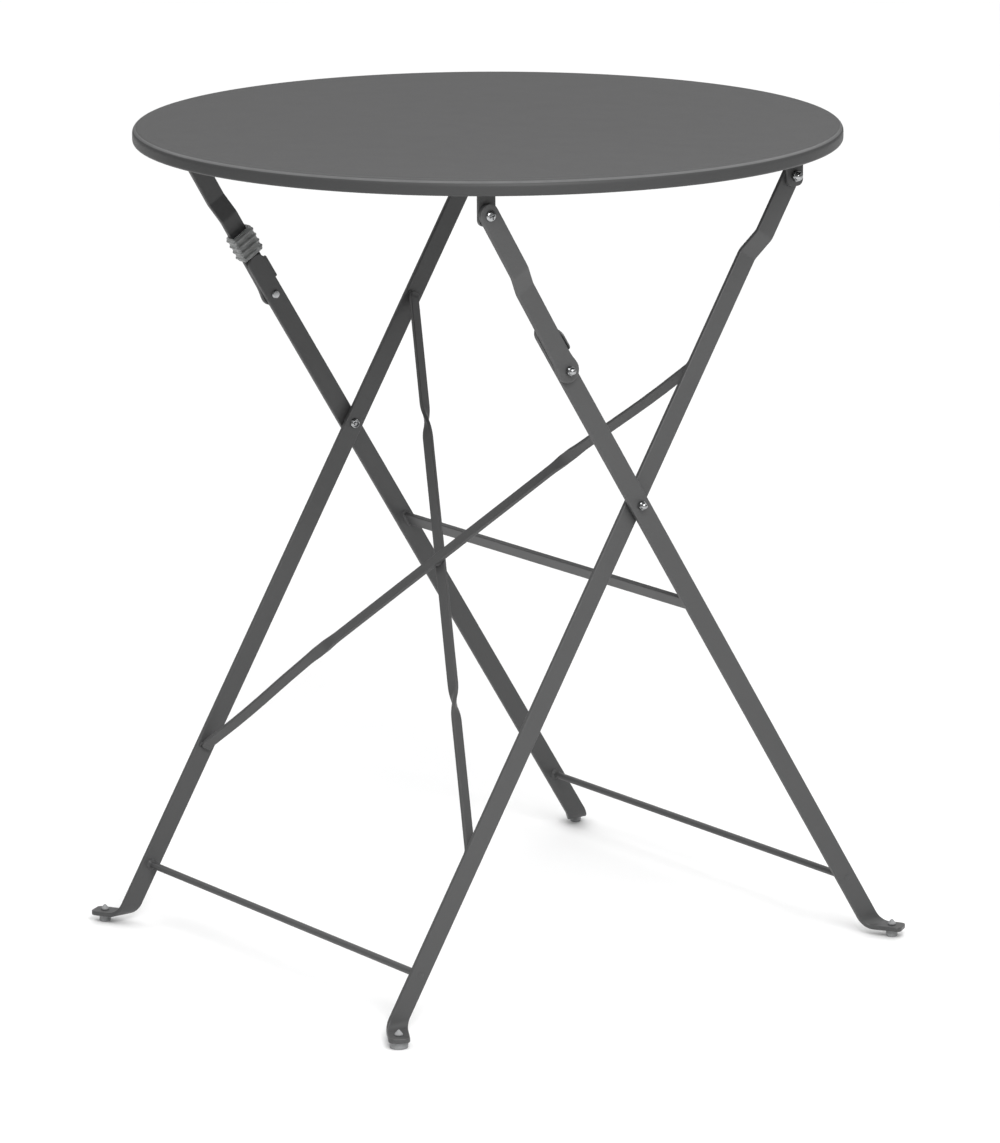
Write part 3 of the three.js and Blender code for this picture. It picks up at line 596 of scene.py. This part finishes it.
def make_cross():
    for name, node, d, s, face, body in (("rod_inner", "inner_foot_rod", 1, INNER_ROD, INNER_X - BAR_T / 2, "inner_frame"),
                                         ("rod_outer", "outer_foot_rod", -1, OUTER_ROD, OUTER_X - BAR_T / 2, "outer_frame")):
        y, z = flat(d, s, 0)
        reach = face - FIT
        prof = [(-reach, 0), (-reach, ROD_R)] + [(-reach + 2 * reach * k / 16, ROD_R) for k in range(1, 16)] + [(reach, ROD_R), (reach, 0)]
        piece(name, spin(prof, "x", (0, y, z), 1, 36), node)
        for side, label in SIDES:
            bead(f"weld_{name}_{label}", (side * (face - 0.05), y, z), side, ROD_R, ROD_R + 1.9, 2.6, body, side + d * 2.3)
            # the tip of the rod is peened through the leg and ground nearly flush
            px, pr = side * (face + BAR_T), 3.0
            tip = [(0.0, 0), (0.0, pr), (0.16, pr - 0.25), (0.3, pr - 0.9), (0.36, 0)]
            piece(f"peen_{name}_{label}", spin(tip, "x", (px, y, z), side, 28), body=body, crease=60)
    reach = OUTER_X - BAR_T / 2 - FIT
    rows = [dict(s=-reach + 2 * reach * k / 20) for k in range(21)]

    def place(r, w, t):
        y, z = flat(-1, CROSSBAR + w, CROSSBAR_SET + t)
        return r["s"], y, z

    piece("crossbar", bar(rows, CROSSBAR_W, BAR_T, EDGE, place), "outer_crossbar")
    cy, cz = flat(-1, CROSSBAR, CROSSBAR_SET)
    a = lean(-1)

    def along(dy, dz, r0):
        # stretch the bead's outline along the width of the crossbar
        u, v = -dy * sin(a) + dz * cos(a), dy * cos(a) + dz * sin(a)
        u = u * 1.0 + math.copysign(CROSSBAR_W / 2 - r0, u) * min(1, abs(u) / r0)
        return -u * sin(a) + v * cos(a), u * cos(a) + v * sin(a)

    for side, label in SIDES:
        bead("weld_crossbar_" + label, (side * (OUTER_X - BAR_T / 2 - 0.05), cy, cz), side, 2.0, 3.7, 2.0, "outer_frame", 5 + side, spread=along)


make_cross()


def make_braces():
    for way, tag, node in ((1, "front", "brace_front"), (-1, "rear", "brace_rear")):
        low_, setd = BRACE_LOW[tag], BRACE_OFF + way * (BRACE_T / 2 + BRACE_GAP)
        face = INNER_X - BAR_T / 2 - FIT - BRACE_T / 2
        a, b = Vector((-way * face, low_)), Vector((way * face, BRACE_HIGH))
        up = Vector((0, 1))
        run = b - a
        along = run.normalized()
        low, high = a - up * BRACE_LAP, b + up * BRACE_LAP
        rows = []
        corner = 3

        def turn(f):
            return smooth((f - BRACE_TWIST["low"]) / BRACE_TURN) if f < 0.5 else smooth((1 - f - BRACE_TWIST["high"]) / BRACE_TURN)

        def bend(p, d0, d1):
            q0, q1 = p - d0 * corner, p + d1 * corner
            for k in range(11):
                u = k / 10
                v = 1 - u
                rows.append(dict(p=q0 * v * v + p * 2 * u * v + q1 * u * u, d=(d0 * v + d1 * u).normalized(), twist=0, set=BRACE_SET))

        tips = end_rows(0, 1, 3, BRACE_W / 2, BRACE_T, 0.7)
        for r in tips:
            rows.append(dict(p=low + up * r["s"] * 0.9, d=up, twist=0, set=BRACE_SET, h=r["h"], b=r["b"], tip=r["tip"]))
        bend(a, up, along)
        low_f, high_f = ([0.06, 0.09, 0.12, 0.15, 0.18] + [q + BRACE_TURN * k / 18 for k in range(19)] + [q + 0.08, q + 0.1, q + 0.14, q + 0.18, 0.45]
                         for q in (BRACE_TWIST["low"], BRACE_TWIST["high"]))
        for f in low_f + [0.5] + [1 - v for v in reversed(high_f)]:
            rows.append(dict(p=a + run * f, d=along, twist=turn(f), set=BRACE_SET + (setd - BRACE_SET) * smooth((min(f, 1 - f) - 0.05) / 0.2)))
        bend(b, along, up)
        for r in reversed(tips):
            rows.append(dict(p=high - up * r["s"] * 0.9, d=up, twist=0, set=BRACE_SET, h=r["h"], b=r["b"], tip=r["tip"]))

        def place(r, w, t):
            g = -way * r["twist"] * pi / 2
            in_plane, normal = w * sin(g) + t * cos(g), w * cos(g) - t * sin(g)
            y, z = flat(1, r["p"].y - r["d"].x * in_plane, -(r["set"] + normal))
            return r["p"].x + r["d"].y * in_plane, y, z

        piece("cross_brace_" + tag, bar(rows, BRACE_W, BRACE_T, 0.7, place), node)
        # weld beads along both edges of each lap
        for end, p in (("low", a), ("high", b)):
            sgn = -1 if end == "low" else 1
            for e in (-1, 1):
                sh, rings, m = Shell(), [], 14
                for i in range(m + 1):
                    s = p.y + sgn * (BRACE_LAP - 0.5) * i / m
                    r = 1.25 * (0.85 + 0.25 * abs(sin(i * 1.3)) + 0.15 * noise.noise(Vector((s * 0.5, way, e)))) * (0.45 if i in (0, m) else 1)
                    x0 = math.copysign(INNER_X - BAR_T / 2, p.x)
                    pts = []
                    for k in range(12):
                        q = 2 * pi * k / 12
                        y, z = flat(1, s, -(BRACE_SET + e * (BRACE_W / 2 - 0.2)) + r * sin(q))
                        pts.append((x0 - math.copysign(0.4 + r * cos(q), p.x), y, z, 0.2))
                    rings.append(sh.ring(pts))
                sh.skin(rings)
                sh.cap(rings[0], True)
                sh.cap(rings[-1])
                piece(f"weld_brace_{tag}_{end}_{'a' if e < 0 else 'b'}", sh, body="inner_frame", crease=80, weighted=False)
    # spot of weld between the braces where they cross
    f = 0.5
    y, z = flat(1, (BRACE_LOW["front"] + BRACE_HIGH) / 2 - 2, -BRACE_OFF)
    prof = [(-3.4, 0), (-3.4, 2.0), (-2.2, 3.9), (0, 4.6), (2.2, 3.9), (3.4, 2.0), (3.4, 0)]
    piece("weld_brace_cross", spin(prof, "x", (0, y, z), 1, 28, wobble=0.12, seed=4.0), body="inner_frame", crease=80, weighted=False)


make_braces()


# ------------------------------------------------------------------ fasteners
def hexed(levels, side, x0, yc, zc, R, n=72, dome=None, start=0.0):
    """A hexagon nut with chamfered corners, closed by a dome or flat. levels: (distance, cone radius)."""
    sh, rings = Shell(), []
    ap = R * cos(pi / 6)
    for a, rc in levels:
        pts = []
        for i in range(n):
            q = 2 * pi * i / n
            rh = ap / cos(((q + start + pi / 6) % (pi / 3)) - pi / 6)
            r = min(rh, rc)
            pts.append((side * (x0 + a), yc + r * cos(q), zc + r * sin(q), 0))
        rings.append(sh.ring(pts))
    for a, r in dome or []:
        if r > 0:
            rings.append(sh.ring([(side * (x0 + a), yc + r * cos(2 * pi * i / n), zc + r * sin(2 * pi * i / n), 0) for i in range(n)]))
    sh.skin(rings)
    sh.fan(rings[0], (side * (x0 + levels[0][0]), yc, zc))
    sh.fan(rings[-1], (side * (x0 + (dome[-1][0] if dome else levels[-1][0])), yc, zc))
    return sh


def dome_nut(name, node, side, yc, zc, x0, R=5.0, start=0.0):
    D = 0.8 * R
    dome = [(3.45, D * 1.0)] + [(3.5 + 3.5 * sin(q) * 1.0, D * cos(q)) for q in [pi / 2 * k / 12 for k in range(1, 12)]] + [(7.02, 0.0)]
    levels = [(0.0, R * 0.93), (0.35, R * 0.985), (0.55, R * 1.01), (2.7, R * 1.01), (3.05, R * 0.97), (3.35, R * 0.9), (3.45, R * 0.86)]
    sh = hexed(levels, side, x0, yc, zc, R, dome=dome, start=start)
    return piece(name, sh, node, ZINC, crease=25)


def bolt(name, node, side, yc, zc, x0, x1, R=4.7, T=2.2, mat=None, hollow=False):
    prof = [(x0 - T, 0)]
    if hollow:
        prof = [(x0 - T + 0.3, 0), (x0 - T + 0.35, R * 0.2), (x0 - T + 0.7, R * 0.3), (x0 - T + 1.5, R * 0.36), (x0 - T + 1.5, R * 0.56), (x0 - T + 0.4, R * 0.62), (x0 - T, R * 0.7)]
    else:
        prof += [(x0 - T, R * 0.25), (x0 - T * 0.98, R * 0.45)]
    prof += [(x0 - T * 0.9, R * 0.78), (x0 - T * 0.62, R * 0.88), (x0 - T * 0.3, R * 0.97), (x0 - 0.25, R), (x0, R * 0.99),
             (x0, BOLT_R), (x1, BOLT_R), (x1 + 0.35, BOLT_R - 0.5), (x1 + 0.35, 0)]
    return piece(name, spin(prof, "x", (0, yc, zc), side, 48), node, mat or ZINC, crease=35)


def make_fasteners():
    for side, label in SIDES:
        in0, in1, out0, out1 = INNER_X - 2, INNER_X + 2, OUTER_X - 2, OUTER_X + 2
        bolt("rivet_cross_" + label, "cross_bolt_" + label, side, 0, CROSS_Z, in0 - FIT, out1 + 3.2, 4.7, 2.2, hollow=True)
        a, b = in1 + FIT, out0 - FIT
        piece("spacer_cross_" + label, spin([(a, 0), (a, 5.9), (a + 0.3, 6.2), (b - 0.3, 6.2), (b, 5.9), (b, 0)], "x", (0, 0, CROSS_Z), side, 40),
              "cross_washer_" + label, ZINC)
        dome_nut("cap_cross_" + label, "cross_nut_" + label, side, 0, CROSS_Z, out1 + FIT, 4.0, 0.3)
        bolt("bolt_knee_" + label, "knee_bolt_" + label, side, KY, KZ, out0 - FIT, LINK_X + 2 + 3.2, 3.9, 1.7)
        dome_nut("cap_knee_" + label, "knee_nut_" + label, side, KY, KZ, LINK_X + 2 + FIT, 4.2, 0.12)
        bolt("bolt_top_" + label, "top_bolt_" + label, side, LEG_EAR_Y, EAR_Z, INNER_TOP_X - 2 - FIT, INNER_TOP_X + 2 - 0.2)
        dome_nut("cap_top_" + label, "top_nut_" + label, side, LEG_EAR_Y, EAR_Z, EAR_X + EAR_T / 2 + FIT, 5.0, 0.45)
        # cross-recess screw through the link and the ear
        x1, x0 = LINK_TOP_X + 2 + FIT, EAR_X - EAR_T / 2 - FIT - 3.2
        cap = [(x1 + 2.55 * sin(q), 4.8 * cos(q) ** 0.8) for q in [pi / 2 * k / 12 for k in range(1, 12)]]
        prof = [(x0, 0), (x0, BOLT_R - 0.3), (x0 + 0.3, BOLT_R), (x1, BOLT_R), (x1, 4.7), (x1 + 0.25, 4.8)] + cap + [(x1 + 2.55, 0)]
        prof = [p for p in prof if p[1] > 0.2 or p[1] == 0]
        sc = piece("screw_link_" + label, spin(prof, "x", (0, -LINK_EAR_Y, EAR_Z), side, 56), "link_screw_" + label, ZINC, crease=35)
        cutter = bpy.data.meshes.new("recess")
        bm = bmesh.new()
        for q in (0.25, 0.25 + pi / 2):
            m = Matrix.Translation(Vector((side * (x1 + 2.6), -LINK_EAR_Y, EAR_Z)) * MM) @ Matrix.Rotation(q, 4, "X") @ Matrix.Diagonal((3.4 * MM, 6.2 * MM, 1.45 * MM, 1))
            bmesh.ops.create_cube(bm, size=1, matrix=m)
        bm.to_mesh(cutter)
        bm.free()
        co = bpy.data.objects.new("recess", cutter)
        bpy.context.scene.collection.objects.link(co)
        mod = sc.modifiers.new("recess", "BOOLEAN")
        mod.operation, mod.object, mod.solver = "DIFFERENCE", co, "EXACT"
        mod.use_self = True
        with bpy.context.temp_override(object=sc, active_object=sc, selected_objects=[sc]):
            bpy.ops.object.modifier_move_to_index(modifier="recess", index=0)
            bpy.ops.object.modifier_apply(modifier="recess")
        bpy.data.objects.remove(co)
        bpy.data.meshes.remove(cutter)
        # its hex nut inside the ear
        n1 = EAR_X - EAR_T / 2 - FIT
        sh = hexed([(0, 4.55), (0.3, 4.95), (0.5, 5.05), (2.5, 5.05), (2.7, 4.95), (3.0, 4.55)], side, n1 - 3.0, -LINK_EAR_Y, EAR_Z, 5.0)
        piece("hexnut_link_" + label, sh, "link_nut_" + label, ZINC, crease=25)


make_fasteners()


# ------------------------------------------------------------------ glides
def make_glides():
    for d, fr, pad in ((1, "inner", INNER_PAD), (-1, "outer", OUTER_PAD)):
        for side, label in SIDES:
            x, y = pad_spot(d, side, pad)
            under, over = FOOT_Z - BAR_T / 2 - FIT, FOOT_Z + BAR_T / 2 + FIT
            r = 7.8 if d > 0 and side > 0 else 5.0
            prof = [(0, 0), (0, r - 1.1), (0.12, r - 0.6), (0.45, r - 0.2), (0.95, r), (under - 0.7, r), (under - 0.3, r - 0.12), (under, r - 0.5),
                    (under, 2.7), (over, 2.7), (over, 3.35), (over + 0.15, 3.5), (over + 1.1, 3.5), (over + 1.3, 3.3), (over + 3.9, 1.1), (over + 4.3, 0.7), (over + 4.5, 0.35), (over + 4.6, 0)]
            piece(f"glide_{fr}_{label}", spin(prof, "z", (x, y, 0), 1, 44), f"{fr}_glide_{label}", GLIDE_MAT, crease=50)


make_glides()


# ------------------------------------------------------------------ lock clip
def make_clip():
    side = -1
    s0, s1 = CLIP
    half, wall = BAR_W / 2 + 0.4, 1.5
    xin, xout = OUTER_X - BAR_T / 2 - 0.4, LINK_X + BAR_T / 2 + 0.4
    n_s = 60

    def loop(a, b, c0, c1, r, seg=6):
        pts = []
        for cu, cv, q0 in ((b - r, c1 - r, 0), (a + r, c1 - r, 90), (a + r, c0 + r, 180), (b - r, c0 + r, 270)):
            for k in range(seg + 1):
                q = math.radians(q0 + 90 * k / seg)
                pts.append((cu + r * cos(q), cv + r * sin(q)))
        return pts

    sh, rings = Shell(), []
    for i in range(n_s + 1):
        s = s0 + (s1 - s0) * i / n_s
        rib = max(0.0, 1 - (abs(((s - s0 - 3.4 + 3.025) % 6.05) - 3.025) / 1.55) ** 2.4)
        tip = min(1.0, min(i, n_s - i) / 2.0)
        g = wall - 0.35 + 0.35 * tip + 0.88 * rib
        gx = wall - 0.35 + 0.35 * tip
        o = loop(-half - g, half + g, xin - gx - 0.58 * rib, xout + gx + 0.88 * rib, 1.7)
        rings.append(sh.ring([(side * x, *on_link(s, w), 0.0) for w, x in o]))
    inner = []
    for i in range(n_s, -1, -6):
        s = s0 + (s1 - s0) * i / n_s
        inner.append(sh.ring([(side * x, *on_link(s, w), 0.0) for w, x in loop(-half, half, xin, xout, 0.5)]))
    sh.skin(rings + inner, closed=True)
    piece("ribbed_clip", sh, "lock_clip", CLIP_MAT, crease=50, weighted=False)


make_clip()

# ------------------------------------------------------------------ floor, light, camera
fm = Nodes("pale_floor")
fm.link(fm.ramp(fm.noise(3, 3), (0.3, 0.93), (0.7, 0.95)), fm.b.inputs["Base Color"])
fm.b.inputs["Roughness"].default_value = 0.9
fm.b.inputs["Specular IOR Level"].default_value = 0.1
me = bpy.data.meshes.new("floor")
me.from_pydata([(-40, -40, 0), (40, -40, 0), (40, 40, 0), (-40, 40, 0)], [], [(0, 1, 2, 3)])
floor = bpy.data.objects.new("floor", me)
bpy.context.scene.collection.objects.link(floor)
me.materials.append(fm.m)

world = bpy.data.worlds.new("studio")
bpy.context.scene.world = world
world.use_nodes = True
world.node_tree.nodes["Background"].inputs["Color"].default_value = (1, 1, 1, 1)
world.node_tree.nodes["Background"].inputs["Strength"].default_value = 0.27


def area(name, loc, aim, size, power):
    data = bpy.data.lights.new(name, "AREA")
    data.shape, data.size, data.size_y, data.energy = "RECTANGLE", size[0], size[1], power
    ob = bpy.data.objects.new(name, data)
    bpy.context.scene.collection.objects.link(ob)
    ob.location = loc
    ob.rotation_euler = (Vector(aim) - Vector(loc)).to_track_quat("-Z", "Y").to_euler()
    return ob


area("key", (1.6, -0.7, 1.6), (0.1, 0, 0.4), (1.1, 1.1), 34)
area("overhead", (-4, 3, 7), (-4, 3, 0), (22, 22), 1650)

# camera fitted to the view: position, focal length and aim; the axis passes through the middle of the frame
F_PX, CAM = 5668.7, Vector((3825.9, -2806.4, 1451.4)) * MM
AZ, EL, ROLL, U0, V0 = math.radians(53.74), math.radians(12.72), math.radians(-0.21), 489.08, 503.4
back = Vector((sin(AZ) * cos(EL), -cos(AZ) * cos(EL), sin(EL)))
right0 = Vector((cos(AZ), sin(AZ), 0))
up0 = back.cross(right0)
right = right0 * cos(ROLL) + up0 * sin(ROLL)
up = -right0 * sin(ROLL) + up0 * cos(ROLL)
axis = -(right * ((500 - U0) / F_PX) - up * ((571.5 - V0) / F_PX) - back).normalized()
up = (up - axis * up.dot(axis)).normalized()
right = up.cross(axis)
cam = bpy.data.cameras.new("camera")
cam.sensor_width = 36
cam.sensor_fit = "AUTO"
cam.lens = F_PX * 36 / 1143
cam.clip_end = 100
co = bpy.data.objects.new("camera", cam)
bpy.context.scene.collection.objects.link(co)
co.matrix_world = Matrix(((right.x, up.x, axis.x, CAM.x), (right.y, up.y, axis.y, CAM.y), (right.z, up.z, axis.z, CAM.z), (0, 0, 0, 1)))
bpy.context.scene.camera = co
bpy.context.scene.view_settings.view_transform = "Standard"

bpy.context.view_layer.update()
